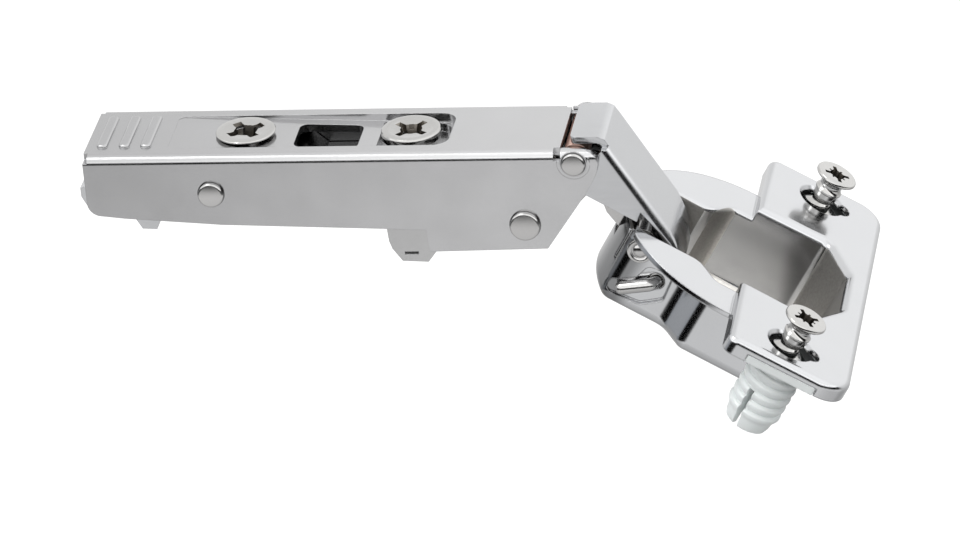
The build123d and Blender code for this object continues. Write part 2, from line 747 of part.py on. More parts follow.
clip_base = (
    clip_base
    - tilt_slot
    - cam_slot
    - side_slot
    - hook_slits
    - across(*LATCH_PIVOT, LATCH_PIN_R, -THROUGH, THROUGH)
)
latch_pin = across(*LATCH_PIVOT, LATCH_PIN_R, -BASE_HALF, BASE_HALF)

# Latch lever that hooks the base to the plate, with its spring
LATCH_HALF = BASE_INNER - SIDE_GAP
latch_line = [
    (-21.0, 1.0),
    (-21.0, -0.9),
    (-23.6, -2.1),
    (-25.3, -4.6),
    (-26.1, -6.5),
    (-28.2, -6.4),
    (-29.3, -4.4),
    (-29.9, -3.0),
    (-34.2, -3.1),
    (-35.9, -2.6),
    (-36.6, -1.2),
    (-36.6, 0.2),
    (-35.6, 0.5),
    (-34.4, -0.8),
    (-27.0, -0.8),
    (-25.2, 1.2),
    (-23.9, 2.1),
    (-22.4, 2.1),
]
latch_void = [
    (-20.0, 3.2),
    (-20.0, -5.0),
    (-23.9, -5.0),
    (-24.4, -1.9),
    (-28.5, -1.9),
    (-34.0, -1.6),
    (-34.0, 3.2),
]
LATCH_SHEET = 1.2
latch_lever = prism(latch_line, -LATCH_HALF, LATCH_HALF) - prism(
    latch_void, -LATCH_HALF + LATCH_SHEET, LATCH_HALF - LATCH_SHEET
)
latch_lever = latch_lever - across(*LATCH_PIVOT, LATCH_PIN_R + RUNNING, -THROUGH, THROUGH)
COIL_R = 1.85
COIL_HALF = 1.6
spring_coil = across(*LATCH_PIVOT, COIL_R, -COIL_HALF, COIL_HALF) - across(
    *LATCH_PIVOT, LATCH_PIN_R + RUNNING, -THROUGH, THROUGH
)


def from_latch(*points):
    """Points given from the latch lever's pivot."""
    return [(LATCH_PIVOT[0] + x, LATCH_PIVOT[1] + z) for x, z in points]


lever_leg = prism(
    from_latch((-1.0, -1.0), (-8.0, -1.3), (-8.0, -1.6), (-1.0, -1.8)), -COIL_HALF, COIL_HALF
)
web_leg = prism(
    from_latch((0.4, 1.3), (2.9, 2.05), (2.9, 1.6), (1.2, 0.9)), -COIL_HALF, COIL_HALF
)
latch_spring = spring_coil + lever_leg + web_leg

# Adjusting screws
depth_head = upright(DEPTH_SCREW_X, 0, ADJUST_HEAD_R, ADJUST_TOP - 0.55, ADJUST_TOP)
depth_head = fillet(depth_head.edges().filter_by(GeomType.CIRCLE), 0.15)
cross = block(-2.6, 2.6, -0.55, 0.55, ADJUST_TOP - 1.6, ADJUST_TOP + 1)
cross = cross + Rot(0, 0, 90) * cross
depth_screw = (
    depth_head
    + upright(DEPTH_SCREW_X, 0, 2.2, 4.0, ADJUST_TOP - 0.3)
    + upright(DEPTH_SCREW_X, 0, 2.9, 3.95, 4.4)
    + upright(DEPTH_SCREW_X, -CAM_OFFSET + 0.85, CAM_PIN_R, 3.5, 4.1)
    + upright(DEPTH_SCREW_X, -CAM_OFFSET, CAM_PIN_R, 1.8, 4.1)
    - Pos(DEPTH_SCREW_X, 0, 0) * Rot(0, 0, 38) * cross
)
side_head = upright(SIDE_SCREW_X, 0, ADJUST_HEAD_R, ADJUST_TOP - 1.5, ADJUST_TOP)
side_head = fillet(side_head.edges().group_by(Axis.Z)[-1], 0.3)
side_screw = (
    side_head
    + upright(SIDE_SCREW_X, 0, SIDE_SHANK_R, BASE_WEB + SIDE_GAP, ADJUST_TOP - 0.5)
    + upright(SIDE_SCREW_X, 0, SIDE_NECK_R, 0.05, BASE_WEB + SIDE_GAP)
    + upright(SIDE_SCREW_X, 0, SIDE_FOOT_R, 0.05, KEY_STEP - 0.1)
    - Pos(SIDE_SCREW_X, 0, 0) * Rot(0, 0, 52) * cross
)

door_parts = {
    "cup": cup,
    "inner_link_pin": inner_pin,
    "outer_link_pin": outer_pin,
    "dowel_near": dowel_near,
    "dowel_far": dowel_far,
    "fixing_screw_near": screw_near,
    "fixing_screw_far": screw_far,
}
nodes = {
    "hinge_arm": hinge_arm,
    "link_rivet": link_rivet,
    "inner_rivet": inner_rivet,
    "tilt_rivet": tilt_rivet,
    "pivot_bush": pivot_bush,
    "closing_spring": closing_spring,
    "outer_link": outer_link,
    "inner_link": inner_link,
    "clip_base": clip_base,
    "latch_pin": latch_pin,
    "latch_lever": latch_lever,
    "latch_spring": latch_spring,
    "depth_screw": depth_screw,
    "side_screw": side_screw,
}
for name, solid in door_parts.items():
    nodes[name] = cup_frame.location * solid
for name, solid in nodes.items():
    export_step(solid, f"parts/{name}.step")
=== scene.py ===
import math

import bpy
import bmesh
from mathutils import Matrix, Vector


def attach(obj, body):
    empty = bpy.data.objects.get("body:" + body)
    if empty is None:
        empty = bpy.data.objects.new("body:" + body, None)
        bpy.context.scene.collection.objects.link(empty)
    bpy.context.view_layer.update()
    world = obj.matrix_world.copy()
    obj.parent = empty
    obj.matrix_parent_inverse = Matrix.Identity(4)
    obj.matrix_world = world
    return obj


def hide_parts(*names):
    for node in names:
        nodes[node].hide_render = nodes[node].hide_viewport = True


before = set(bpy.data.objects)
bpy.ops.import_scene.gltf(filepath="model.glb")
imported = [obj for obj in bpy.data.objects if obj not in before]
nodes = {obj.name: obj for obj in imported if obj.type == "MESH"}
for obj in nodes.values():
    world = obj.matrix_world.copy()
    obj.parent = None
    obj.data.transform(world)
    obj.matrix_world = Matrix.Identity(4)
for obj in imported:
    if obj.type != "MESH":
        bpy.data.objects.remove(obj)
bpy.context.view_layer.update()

# Shapes are drawn in millimetres and placed in metres
MM = 0.001

# The camera, fitted to the photograph
PHOTO_WIDTH = 960
PHOTO_FOCAL = 6345.4
SENSOR_WIDTH = 36.0
CAMERA_PLACE = (0.16888, -0.79596, 0.38829)
CAMERA_RIGHT = (0.98614, 0.14327, -0.08372)
CAMERA_DOWN = (-0.00968, -0.45400, -0.89095)
CAMERA_AHEAD = (-0.16566, 0.87941, -0.44632)
NEAREST = 0.05
FARTHEST = 20.0

# Sizes that the solids have too
ARM_HALF = 8.0
ARM_REAR = -38.0
ARM_FRONT = 36.0
LINK_PIVOT = (35.0, 4.3)
LINK_HEAD = 1.7
INNER_PIVOT = (27.44, -5.15)
INNER_HEAD = 2.15
TILT_PIVOT = (-17.1, 0.3)
TILT_HEAD = 1.85
LATCH_PIVOT = (-23.2, 0.0)
DEPTH_SCREW_X = -12.9
SIDE_SCREW_X = 10.94
ADJUST_TOP = 6.5
CUP_CENTRE = (56.22, -14.46)
OPEN_TILT = 30.93
SCREW_PLACE = (9.4, 22.5)
INNER_PIN_UW = (-13.62, -2.03)
OUTER_PIN_UW = (-9.47, -5.38)

# Turns a shape that stands upright so that it lies across the arm
ACROSS = Matrix.Rotation(math.radians(90), 4, "X")

# The open door's own place: the cup's centre at door level
DOOR = Matrix.Translation((CUP_CENTRE[0], 0, CUP_CENTRE[1])) @ Matrix.Rotation(
    math.radians(OPEN_TILT), 4, "Y"
)


def make_camera():
    """A camera with the photograph's view."""
    data = bpy.data.cameras.new("camera")
    data.sensor_width = SENSOR_WIDTH
    data.lens = PHOTO_FOCAL / PHOTO_WIDTH * SENSOR_WIDTH
    data.clip_start = NEAREST
    data.clip_end = FARTHEST
    camera = bpy.data.objects.new("camera", data)
    axes = (Vector(CAMERA_RIGHT), -Vector(CAMERA_DOWN), -Vector(CAMERA_AHEAD))
    turn = Matrix(axes).transposed().to_4x4()
    camera.matrix_world = Matrix.Translation(CAMERA_PLACE) @ turn
    bpy.context.collection.objects.link(camera)
    bpy.context.scene.camera = camera


class Value:
    """A socket of a node tree, with arithmetic on numbers."""

    def __init__(self, network, socket):
        self.network = network
        self.socket = socket

    def __add__(self, other):
        return self.network.math("ADD", self, other)

    def __radd__(self, other):
        return self.network.math("ADD", other, self)

    def __sub__(self, other):
        return self.network.math("SUBTRACT", self, other)

    def __rsub__(self, other):
        return self.network.math("SUBTRACT", other, self)

    def __mul__(self, other):
        return self.network.math("MULTIPLY", self, other)

    def __rmul__(self, other):
        return self.network.math("MULTIPLY", other, self)

    def below(self, limit):
        return self.network.math("LESS_THAN", self, limit)

    def above(self, limit):
        return self.network.math("GREATER_THAN", self, limit)

    def size(self):
        return self.network.math("ABSOLUTE", self, 0.0)

    def least(self, other):
        return self.network.math("MINIMUM", self, other)


class Network:
    """The nodes of one material or of the world."""

    def __init__(self, tree):
        self.tree = tree

    def node(self, kind, settings=None, output=0, inputs=None):
        """A node of that kind, with its settings made before its sockets are fed."""
        made = self.tree.nodes.new(kind)
        for key, value in (settings or {}).items():
            if key == "stops":
                self.set_stops(made.color_ramp, value)
            else:
                setattr(made, key, value)
        for key, value in (inputs or {}).items():
            self.feed(made.inputs[key], value)
        return Value(self, made.outputs[output])

    def set_stops(self, ramp, stops):
        while len(ramp.elements) < len(stops):
            ramp.elements.new(0.5)
        for element, (position, tone) in zip(ramp.elements, stops):
            element.position = position
            element.color = (tone, tone, tone, 1.0)

    def feed(self, socket, value):
        if isinstance(value, Value):
            self.tree.links.new(value.socket, socket)
        else:
            socket.default_value = value

    def math(self, operation, first, second):
        return self.node("ShaderNodeMath", {"operation": operation}, 0, {0: first, 1: second})

    def smooth(self, value, low, high):
        """0 below low, 1 above high and a smooth rise between them."""
        inputs = {"Value": value, "From Min": low, "From Max": high}
        return self.node("ShaderNodeMapRange", {"interpolation_type": "SMOOTHSTEP"}, 0, inputs)

    def mix(self, share, first, second):
        """The first colour where share is 0 and the second where it is 1."""
        inputs = {0: share, 6: first, 7: second}
        return self.node("ShaderNodeMix", {"data_type": "RGBA"}, 2, inputs)

    def tinted(self, colour, shade):
        """A colour made lighter or darker by a number."""
        return self.node("ShaderNodeVectorMath", {"operation": "SCALE"}, 0, {0: colour, 3: shade})

    def split(self, vector):
        """The three numbers of a vector."""
        made = self.tree.nodes.new("ShaderNodeSeparateXYZ")
        self.feed(made.inputs[0], vector)
        return [Value(self, socket) for socket in made.outputs]

    def ramp(self, value, stops):
        """A grey that follows (position, tone) stops."""
        return self.node("ShaderNodeValToRGB", {"stops": stops}, 0, {"Fac": value})


# Samples of the shader that rounds edges
EDGE_SAMPLES = 6


class Finish(Network):
    """A material with one Principled shader."""

    def __init__(self, name):
        self.material = bpy.data.materials.new(name)
        self.material.use_nodes = True
        super().__init__(self.material.node_tree)
        self.shader = self.tree.nodes["Principled BSDF"]

    def place(self):
        return self.node("ShaderNodeTexCoord", None, "Object")

    def moved(self, vector, shift=(0, 0, 0), turn=(0, 0, 0), scale=(1, 1, 1)):
        inputs = {"Vector": vector, "Location": shift, "Rotation": turn, "Scale": scale}
        return self.node("ShaderNodeMapping", None, 0, inputs)

    def distance(self, first, second):
        return self.math("SQRT", first * first + second * second, 0.0)

    def in_door(self, place):
        """The cup's own coordinates in millimetres: to its front, across and out of the door."""
        shift = (-CUP_CENTRE[0] * MM, 0, -CUP_CENTRE[1] * MM)
        turn = (0, -math.radians(OPEN_TILT), 0)
        centred = self.moved(place, shift=shift)
        return self.split(self.moved(centred, turn=turn, scale=(1 / MM, 1 / MM, 1 / MM)))

    def noise(self, vector, feature, detail=2.0):
        """Noise from 0 to 1 whose blotches are about that many millimetres wide."""
        inputs = {"Vector": vector, "Scale": 1 / (feature * MM), "Detail": detail}
        return self.node("ShaderNodeTexNoise", None, 0, inputs)

    def rounded(self, radius):
        """Normals that round every edge by that many millimetres."""
        return self.node("ShaderNodeBevel", {"samples": EDGE_SAMPLES}, 0, {"Radius": radius * MM})

    def relief(self, height, depth, normal):
        """Normals of a surface raised by height times depth millimetres."""
        inputs = {"Height": height, "Distance": depth * MM, "Strength": 1.0, "Normal": normal}
        return self.node("ShaderNodeBump", None, 0, inputs)

    def set(self, inputs):
        for key, value in inputs.items():
            self.feed(self.shader.inputs[key], value)


# The plated metals: height of their grain, width of their clouds, and how far both change the gloss
GRAIN_HEIGHT = 0.0008
CLOUD_SIZE = 7.0
GRAIN_GLOSS = 0.10
CLOUD_GLOSS = 0.12


def metal(name, colour, roughness, grain=0.3, stretch=(1, 1, 1), tone=0.06, edge=0.12, marks=None):
    """A plated metal: fine grain in colour, gloss and height, over broad cloudy patches."""
    finish = Finish(name)
    place = finish.place()
    fine = finish.noise(finish.moved(place, scale=stretch), grain, 3.0)
    broad = finish.noise(place, CLOUD_SIZE)
    shade = 1 + tone * (fine - 0.5) + tone * (broad - 0.5)
    height = fine * GRAIN_HEIGHT
    # Marks may paint shade into the colour as well as raise the surface
    if marks:
        mark_and_painted_shade, mark_height = marks(finish, place)
        shade = shade * mark_and_painted_shade
        height = height + mark_height
    finish.set(
        {
            "Base Color": finish.tinted(colour, shade),
            "Metallic": 1.0,
            "Roughness": roughness + GRAIN_GLOSS * (fine - 0.5) + CLOUD_GLOSS * (broad - 0.5),
            "Normal": finish.relief(height, 1.0, finish.rounded(edge)),
        }
    )
    return finish.material


# The arm's marks: its tone at the rear, a painted shadow line round each rivet, and the ring round the
# link's
ARM_REAR_TONE = 0.80
ARM_TONE_RISE = 0.24
SEAT_SHADOW_WIDTH = 0.16
SEAT_SHADOW_CORE = 0.06
SEAT_SHADOW_DARKNESS = 0.65
RING_R = 2.4
RING_EDGE = 0.12
RING_HEIGHT = 0.06
SKIN = 0.05


def arm_tone_and_painted_shadow(finish, place):
    """The arm's sheet is darker to the rear, and painted shadow darkens it close round each rivet's head.
    """
    along, across, height = finish.split(place)
    flank = across.size().above((ARM_HALF - SKIN) * MM)

    def reach(pivot):
        return finish.distance(along - pivot[0] * MM, height - pivot[1] * MM)

    shade = ARM_REAR_TONE + ARM_TONE_RISE * finish.smooth(along, ARM_REAR * MM, ARM_FRONT * MM)
    for pivot, head in ((LINK_PIVOT, LINK_HEAD), (INNER_PIVOT, INNER_HEAD), (TILT_PIVOT, TILT_HEAD)):
        # Painted contact shadow round each rivet's head
        seat_shadow = finish.smooth(reach(pivot), (head + SEAT_SHADOW_WIDTH) * MM, (head + SEAT_SHADOW_CORE) * MM)
        shade = shade * (1 - SEAT_SHADOW_DARKNESS * seat_shadow * flank)
    ring = finish.smooth(reach(LINK_PIVOT), RING_R * MM, (RING_R - RING_EDGE) * MM)
    return shade, ring * flank * RING_HEIGHT


# Painted shade: the base's inside, between these two heights, goes from bright to dark
BASE_SHADE_START = 0.3
BASE_SHADE_FULL = 1.2
BASE_PAINTED_SHADE = 0.88


def base_painted_shade(finish, place):
    """Painted shade on the base's inside, which lies in the dark as seen through the arm's window."""
    height = finish.split(place)[2]
    # Painted shade deepens with height inside the base
    inside = finish.smooth(height, BASE_SHADE_START * MM, BASE_SHADE_FULL * MM)
    return 1 - BASE_PAINTED_SHADE * inside, 0.0


# The cup's hollow in the cup's own coordinates: it is narrow at the rear and steps out to the front
HOLLOW_REAR_HALF = 7.8
HOLLOW_STEP_OUT = 3.4
HOLLOW_STEP_REAR = -6.0
HOLLOW_STEP_FRONT = -2.6
HOLLOW_FRONT = 16.1
HOLLOW_FLOOR = -11.5
HOLLOW_TOP = 1.9
HOLLOW_R = 17.2

# Its front corners are cut off along a line: so much of u and of v add up to the limit
CORNER_U = 0.848
CORNER_V = 0.531
CORNER_LIMIT = 16.4

# A painted pool of light on the middle of the hollow's floor rises and falls between these places
PAINTED_LIGHT_REAR = (-4.5, -0.5)
PAINTED_LIGHT_FRONT = (12.5, 9.5)

# A painted dark reflection darkens the cup's outside towards its rear wall, below the lips
REAR_DARK_REFLECTION = (-11.2, -13.8)
REAR_DARK_REFLECTION_TOP = -1.2
REAR_REFLECTION_DARKNESS = 0.55


def cup_metal(name, outside, inside):
    """The cup's plating: bright outside, dull and grainy where the press drew it, with painted light on
    the hollow's floor and a painted dark reflection towards the rear wall.
    """
    finish = Finish(name)
    place = finish.place()
    u, v, w = finish.in_door(place)
    side = v.size()
    half = HOLLOW_REAR_HALF + HOLLOW_STEP_OUT * finish.smooth(u, HOLLOW_STEP_REAR, HOLLOW_STEP_FRONT)
    hollow = side.below(half) * u.below(HOLLOW_FRONT) * w.above(HOLLOW_FLOOR) * w.below(HOLLOW_TOP)
    hollow = hollow * (CORNER_U * u + CORNER_V * side).below(CORNER_LIMIT)
    hollow = hollow * (u * u + v * v).below(HOLLOW_R * HOLLOW_R)
    fine = finish.noise(place, 0.35, 4.0)
    broad = finish.noise(place, 5.0)
    painted_light = finish.smooth(u, *PAINTED_LIGHT_REAR) * finish.smooth(u, *PAINTED_LIGHT_FRONT)
    # Painted light brightens the hollow's middle and leaves it darker round about, over the metal's own
    # grain
    dull = (0.55 + 0.8 * painted_light) * (1 + 0.5 * (fine - 0.5) + 0.3 * (broad - 0.5))
    # Painted dark reflection on the outside towards the rear wall
    rear = finish.smooth(u, *REAR_DARK_REFLECTION) * w.below(REAR_DARK_REFLECTION_TOP)
    outside_and_reflection = (1 + 0.05 * (fine - 0.5) + 0.05 * (broad - 0.5)) * (1 - REAR_REFLECTION_DARKNESS * rear)
    height = fine * (0.06 + 0.94 * hollow)
    finish.set(
        {
            "Base Color": finish.mix(
                hollow, finish.tinted(outside, outside_and_reflection), finish.tinted(inside, dull)
            ),
            "Metallic": 1.0,
            "Roughness": 0.15 + 0.38 * hollow + 0.06 * (fine - 0.5) + 0.08 * (broad - 0.5),
            "Normal": finish.relief(height, 0.004, finish.rounded(0.3)),
        }
    )
    return finish.material


# Painted shade darkens the dowels' bore: a soft ring at its mouth, and the hole itself down to its depth
NYLON = (0.90, 0.95, 0.945)
MOUTH_R = (4.9, 4.6)
MOUTH_DEPTH = -0.4
HOLE_R = 3.1
HOLE_DEPTH = -4.0
BORE_PAINTED_SHADE = 0.93


def nylon(name):
    """Natural nylon: milky, with faint flow marks, and painted shade in the bore."""
    finish = Finish(name)
    place = finish.place()
    u, v, w = finish.in_door(place)
    from_axis = finish.distance(u - SCREW_PLACE[0], v.size() - SCREW_PLACE[1])
    mouth = finish.smooth(from_axis, *MOUTH_R) * w.above(MOUTH_DEPTH)
    hole = from_axis.below(HOLE_R) * w.above(HOLE_DEPTH)
    flow = finish.noise(finish.moved(place, scale=(1, 1, 0.35)), 2.5, 3.0)
    skin = finish.noise(place, 0.3)
    # Painted shade in the bore, over faint flow marks
    shade = (1 + 0.06 * (flow - 0.5)) * (1 - BORE_PAINTED_SHADE * (mouth + hole).least(1.0))
    finish.set(
        {
            "Base Color": finish.tinted(NYLON, shade),
            "Roughness": 0.32 + 0.12 * (flow - 0.5),
            "Normal": finish.relief(skin, 0.004, finish.rounded(0.12)),
            "Subsurface Weight": 0.35,
            "Subsurface Radius": (1.0, 1.0, 1.0),
            "Subsurface Scale": 0.002,
            "Transmission Weight": 0.25,
            "IOR": 1.5,
        }
    )
    return finish.material


def verts_in(geometry):
    return [item for item in geometry if isinstance(item, bmesh.types.BMVert)]


def edges_in(geometry):
    return [item for item in geometry if isinstance(item, bmesh.types.BMEdge)]


def turned(profile, steps=96):
    """A solid of revolution round Z from (radius, height) points."""
    shape = bmesh.new()
    points = [shape.verts.new((radius, 0, height)) for radius, height in profile]
    edges = [shape.edges.new(pair) for pair in zip(points, points[1:])]
    bmesh.ops.spin(
        shape,
        geom=points + edges,
        cent=(0, 0, 0),
        axis=(0, 0, 1),
        angle=2 * math.pi,
        steps=steps,
        use_merge=True,
    )
    bmesh.ops.remove_doubles(shape, verts=shape.verts, dist=0.0001)
    bmesh.ops.recalc_face_normals(shape, faces=shape.faces)
    return shape


def combined(base, tool, operation):
    """Two closed shapes joined, or one cut from the other. The tool's faces get the second material."""
    things = []
    for slot, shape in enumerate((base, tool)):
        mesh = bpy.data.meshes.new("shape")
        if slot == 1:
            for face in shape.faces:
                face.material_index = 1
        shape.to_mesh(mesh)
        shape.free()
        mesh.materials.append(None)
        mesh.materials.append(None)
        thing = bpy.data.objects.new("shape", mesh)
        bpy.context.collection.objects.link(thing)
        things.append(thing)
    change = things[0].modifiers.new("change", "BOOLEAN")
    change.object = things[1]
    change.operation = operation
    change.solver = "EXACT"
    result = bmesh.new()
    result.from_object(things[0], bpy.context.evaluated_depsgraph_get())
    for thing in things:
        bpy.data.objects.remove(thing)
    return result


# A driver recess: where each wing's straight sides start, and how far the cutter stands above the head
WING_START = 0.6
CUTTER_ABOVE = 0.5


def driver_cutter(tip, half, waist, top, depth, shrink, turn=0.0):
    """A four-winged recess that narrows as it goes down."""
    wing = [
        (waist, -waist),
        (tip * WING_START, -half),
        (tip, -half),
        (tip, half),
        (tip * WING_START, half),
    ]
    outline = []
    for quarter in range(4):
        angle = math.radians(turn + 90 * quarter)
        cosine = math.cos(angle)
        sine = math.sin(angle)
        outline += [(x * cosine - y * sine, x * sine + y * cosine) for x, y in wing]
    shape = bmesh.new()
    upper = shape.faces.new([shape.verts.new((x, y, top + CUTTER_ABOVE)) for x, y in outline])
    made = bmesh.ops.extrude_face_region(shape, geom=[upper])
    lower = verts_in(made["geom"])
    bmesh.ops.translate(shape, verts=lower, vec=(0, 0, -depth - CUTTER_ABOVE))
    bmesh.ops.scale(shape, verts=lower, vec=(shrink, shrink, 1))
    bmesh.ops.recalc_face_normals(shape, faces=shape.faces)
    return shape


# A screw thread: steps in one turn, half its foot and its run-out as shares of the pitch, and its overlap
THREAD_STEPS = 40
THREAD_HALF = 0.3
THREAD_FADE = 0.5
THREAD_SUNK = 0.15


def thread(root, crest, pitch, turns, bottom):
    """A helical ridge that runs out at both ends."""
    shape = bmesh.new()
    half = pitch * THREAD_HALF
    inner = root - THREAD_SUNK
    section = ((inner, 0, bottom - half), (crest, 0, bottom), (inner, 0, bottom + half))
    corners = [shape.verts.new(point) for point in section]
    edges = [shape.edges.new((corners[i], corners[(i + 1) % 3])) for i in range(3)]
    shape.faces.new(corners)
    made = bmesh.ops.spin(
        shape,
        geom=corners + edges,
        cent=(0, 0, 0),
        axis=(0, 0, 1),
        dvec=(0, 0, pitch / THREAD_STEPS),
        angle=2 * math.pi * turns,
        steps=THREAD_STEPS * turns,
    )
    shape.faces.new(verts_in(made["geom_last"]))
    top = bottom + pitch * turns
    fade = pitch * THREAD_FADE
    for vert in shape.verts:
        reach = math.hypot(vert.co.x, vert.co.y)
        if reach > root:
            share = min(1.0, (vert.co.z - bottom) / fade, (top - vert.co.z) / fade)
            wanted = inner + (reach - inner) * max(0.0, share)
            bmesh.ops.scale(shape, verts=[vert], vec=(wanted / reach, wanted / reach, 1))
    bmesh.ops.recalc_face_normals(shape, faces=shape.faces)
    return shape


def added(base, other):
    """Two shapes in one, with nothing cut."""
    mesh = bpy.data.meshes.new("part")
    other.to_mesh(mesh)
    other.free()
    base.from_mesh(mesh)
    return base


def smoothed(mesh):
    mesh.polygons.foreach_set("use_smooth", [True] * len(mesh.polygons))


def even_normals(thing):
    """Large flat faces keep their shading where a rounded edge meets them."""
    normals = thing.modifiers.new("normals", "WEIGHTED_NORMAL")
    normals.keep_sharp = True


def piece(name, shape, place, body, material, stands_for, recess=None, sharp=32):
    """A piece that rides on a body in place of CAD nodes. Edges over that many degrees stay sharp."""
    bmesh.ops.transform(shape, matrix=Matrix.Scale(MM, 4) @ place, verts=shape.verts)
    mesh = bpy.data.meshes.new(name)
    shape.to_mesh(mesh)
    shape.free()
    smoothed(mesh)
    mesh.set_sharp_from_angle(angle=math.radians(sharp))
    mesh.materials.append(material)
    # The second material, on the recess faces, carries painted shade
    if recess:
        mesh.materials.append(recess)
    thing = bpy.data.objects.new(name, mesh)
    bpy.context.collection.objects.link(thing)
    even_normals(thing)
    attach(thing, body)
    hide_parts(*stands_for)


# CAD nodes: points this near, in metres, are joined, and edges over so many degrees stay sharp
WELD_REACH = 0.000002
SHARP_EDGE = 30


def dress(material, *names):
    """A CAD node's finish, with its loose facets joined for smooth shading."""
    for name in names:
        node = nodes[name]
        node.data.materials.clear()
        node.data.materials.append(material)
        smoothed(node.data)
        weld = node.modifiers.new("weld", "WELD")
        weld.merge_threshold = WELD_REACH
        split = node.modifiers.new("edges", "EDGE_SPLIT")
        split.split_angle = math.radians(SHARP_EDGE)
        even_normals(node)


make_camera()

# Finishes
satin = metal("satin_nickel", (0.50, 0.50, 0.505), 0.20, marks=arm_tone_and_painted_shadow)
brushed = metal("brushed_nickel", (0.50, 0.505, 0.515), 0.18, grain=0.5, stretch=(0.15, 1, 1))
drawn = cup_metal("drawn_nickel", (0.50, 0.505, 0.515), (0.60, 0.585, 0.56))
inner_steel = metal("inner_steel", (0.50, 0.50, 0.50), 0.24, grain=0.4, marks=base_painted_shade)
rivet_steel = metal("rivet_steel", (0.48, 0.475, 0.47), 0.2, grain=0.25, tone=0.08)
screw_steel = metal("screw_steel", (0.46, 0.455, 0.445), 0.13, tone=0.1, edge=0.06)
# A darker copy of the screw steel: painted shade inside the driver recesses
recess_shaded_steel = metal("recess_shaded_steel", (0.20, 0.185, 0.165), 0.3, tone=0.3, edge=0.05)
spring_steel = metal("spring_steel", (0.25, 0.245, 0.24), 0.3, tone=0.1)
bronze = metal("bush_bronze", (0.62, 0.42, 0.36), 0.4, tone=0.15)
milky = nylon("milky_nylon")

dress(satin, "hinge_arm")
dress(brushed, "outer_link", "latch_lever")
dress(drawn, "cup")
dress(rivet_steel, "inner_link", "latch_pin")
dress(inner_steel, "clip_base")
dress(spring_steel, "closing_spring")
dress(bronze, "pivot_bush")

# Rivets, whose heads have a rounded edge made in this many steps
HEAD_EDGE = 0.3
HEAD_STEPS = 5


def rivet(name, body, pivot, shank, head, height, clear=0.0):
    """A rivet with a flat round head on both sides of the arm."""
    seat = ARM_HALF + clear
    face = seat + height
    profile = [(0, face), (head - HEAD_EDGE, face)]
    for step in range(1, HEAD_STEPS + 1):
        angle = math.radians(90 / HEAD_STEPS * step)
        radius = head - HEAD_EDGE + HEAD_EDGE * math.sin(angle)
        profile.append((radius, face - HEAD_EDGE + HEAD_EDGE * math.cos(angle)))
    profile += [(head, seat), (shank, seat)]
    profile += [(radius, -across) for radius, across in reversed(profile)]
    place = Matrix.Translation((pivot[0], 0, pivot[1])) @ ACROSS
    piece(name + "_turned", turned(profile), place, body, rivet_steel, (name,), sharp=22)


rivet("link_rivet", "arm", LINK_PIVOT, shank=1.3, head=LINK_HEAD, height=0.6)
rivet("inner_rivet", "arm", INNER_PIVOT, shank=1.5, head=INNER_HEAD, height=0.8)
rivet("tilt_rivet", "slider", TILT_PIVOT, shank=1.5, head=TILT_HEAD, height=0.7, clear=0.05)

# Depth screw: a flat head with a rolled rim, and a cam with an off-centre pin. Points are (radius, height)
DEPTH_PROFILE = [
    (0, -0.1),
    (2.3, -0.1),
    (2.75, 0.0),
    (4.0, 0.0),
    (4.18, -0.05),
    (4.28, -0.17),
    (4.28, -0.3),
    (4.15, -0.42),
    (4.0, -0.55),
    (2.2, -0.55),
    (2.2, -2.1),
    (2.9, -2.1),
    (2.9, -2.55),
    (0, -2.55),
]
CAM_PROFILE = [(0, -2.4), (1.2, -2.4), (1.2, -4.5), (1.0, -4.7), (0, -4.7)]
CAM_OFFSET = 2.0

depth_cross = driver_cutter(2.9, 0.72, 1.25, top=0, depth=1.9, shrink=0.75, turn=38)
depth_screw = combined(turned(DEPTH_PROFILE), depth_cross, "DIFFERENCE")
cam_pin = turned(CAM_PROFILE, 48)
bmesh.ops.translate(cam_pin, verts=cam_pin.verts, vec=(0, -CAM_OFFSET, 0))
piece(
    "depth_screw_turned",
    added(depth_screw, cam_pin),
    Matrix.Translation((DEPTH_SCREW_X, 0, ADJUST_TOP)),
    "depth_screw",
    screw_steel,
    ("depth_screw",),
    recess_shaded_steel,
)

# Side screw: a dished head on a neck with a foot. A small cross lies in its large one
SIDE_PROFILE = [
    (0, -0.3),
    (2.6, -0.22),
    (3.25, 0.0),
    (3.9, 0.0),
    (4.15, -0.08),
    (4.29, -0.3),
    (4.29, -1.25),
    (4.15, -1.5),
    (2.0, -1.5),
    (2.0, -5.1),
    (1.45, -5.15),
    (1.45, -6.0),
    (2.1, -6.0),
    (2.1, -6.44),
    (0, -6.44),
]
large_cross = driver_cutter(3.1, 0.55, 1.2, top=0, depth=1.9, shrink=0.6, turn=52)
small_cross = driver_cutter(1.75, 0.4, 0.9, top=0, depth=1.0, shrink=0.8, turn=7)
side_screw = combined(turned(SIDE_PROFILE), large_cross, "DIFFERENCE")
side_screw = combined(side_screw, small_cross, "DIFFERENCE")
piece(
    "side_screw_turned",
    side_screw,
    Matrix.Translation((SIDE_SCREW_X, 0, ADJUST_TOP)),
    "side_screw",
    screw_steel,
    ("side_screw",),
    recess_shaded_steel,
)

# Fixing screws: countersunk head, ringed neck and coarse thread
FIXING_PROFILE = [
    (0, -7.6),
    (0.5, -7.3),
    (1.35, -6.2),
    (1.5, -5.6),
    (1.5, 3.3),
    (1.75, 3.6),
    (1.78, 4.55),
    (1.98, 4.72),
    (2.0, 5.0),
    (1.82, 5.2),
    (1.68, 5.5),
    (1.68, 5.95),
    (1.85, 6.3),
    (2.75, 7.02),
    (2.98, 7.1),
    (3.08, 7.24),
    (3.08, 7.46),
    (2.98, 7.62),
    (2.8, 7.68),
    (2.6, 7.64),
    (0, 7.6),
]
FIXING_TOP = 7.6


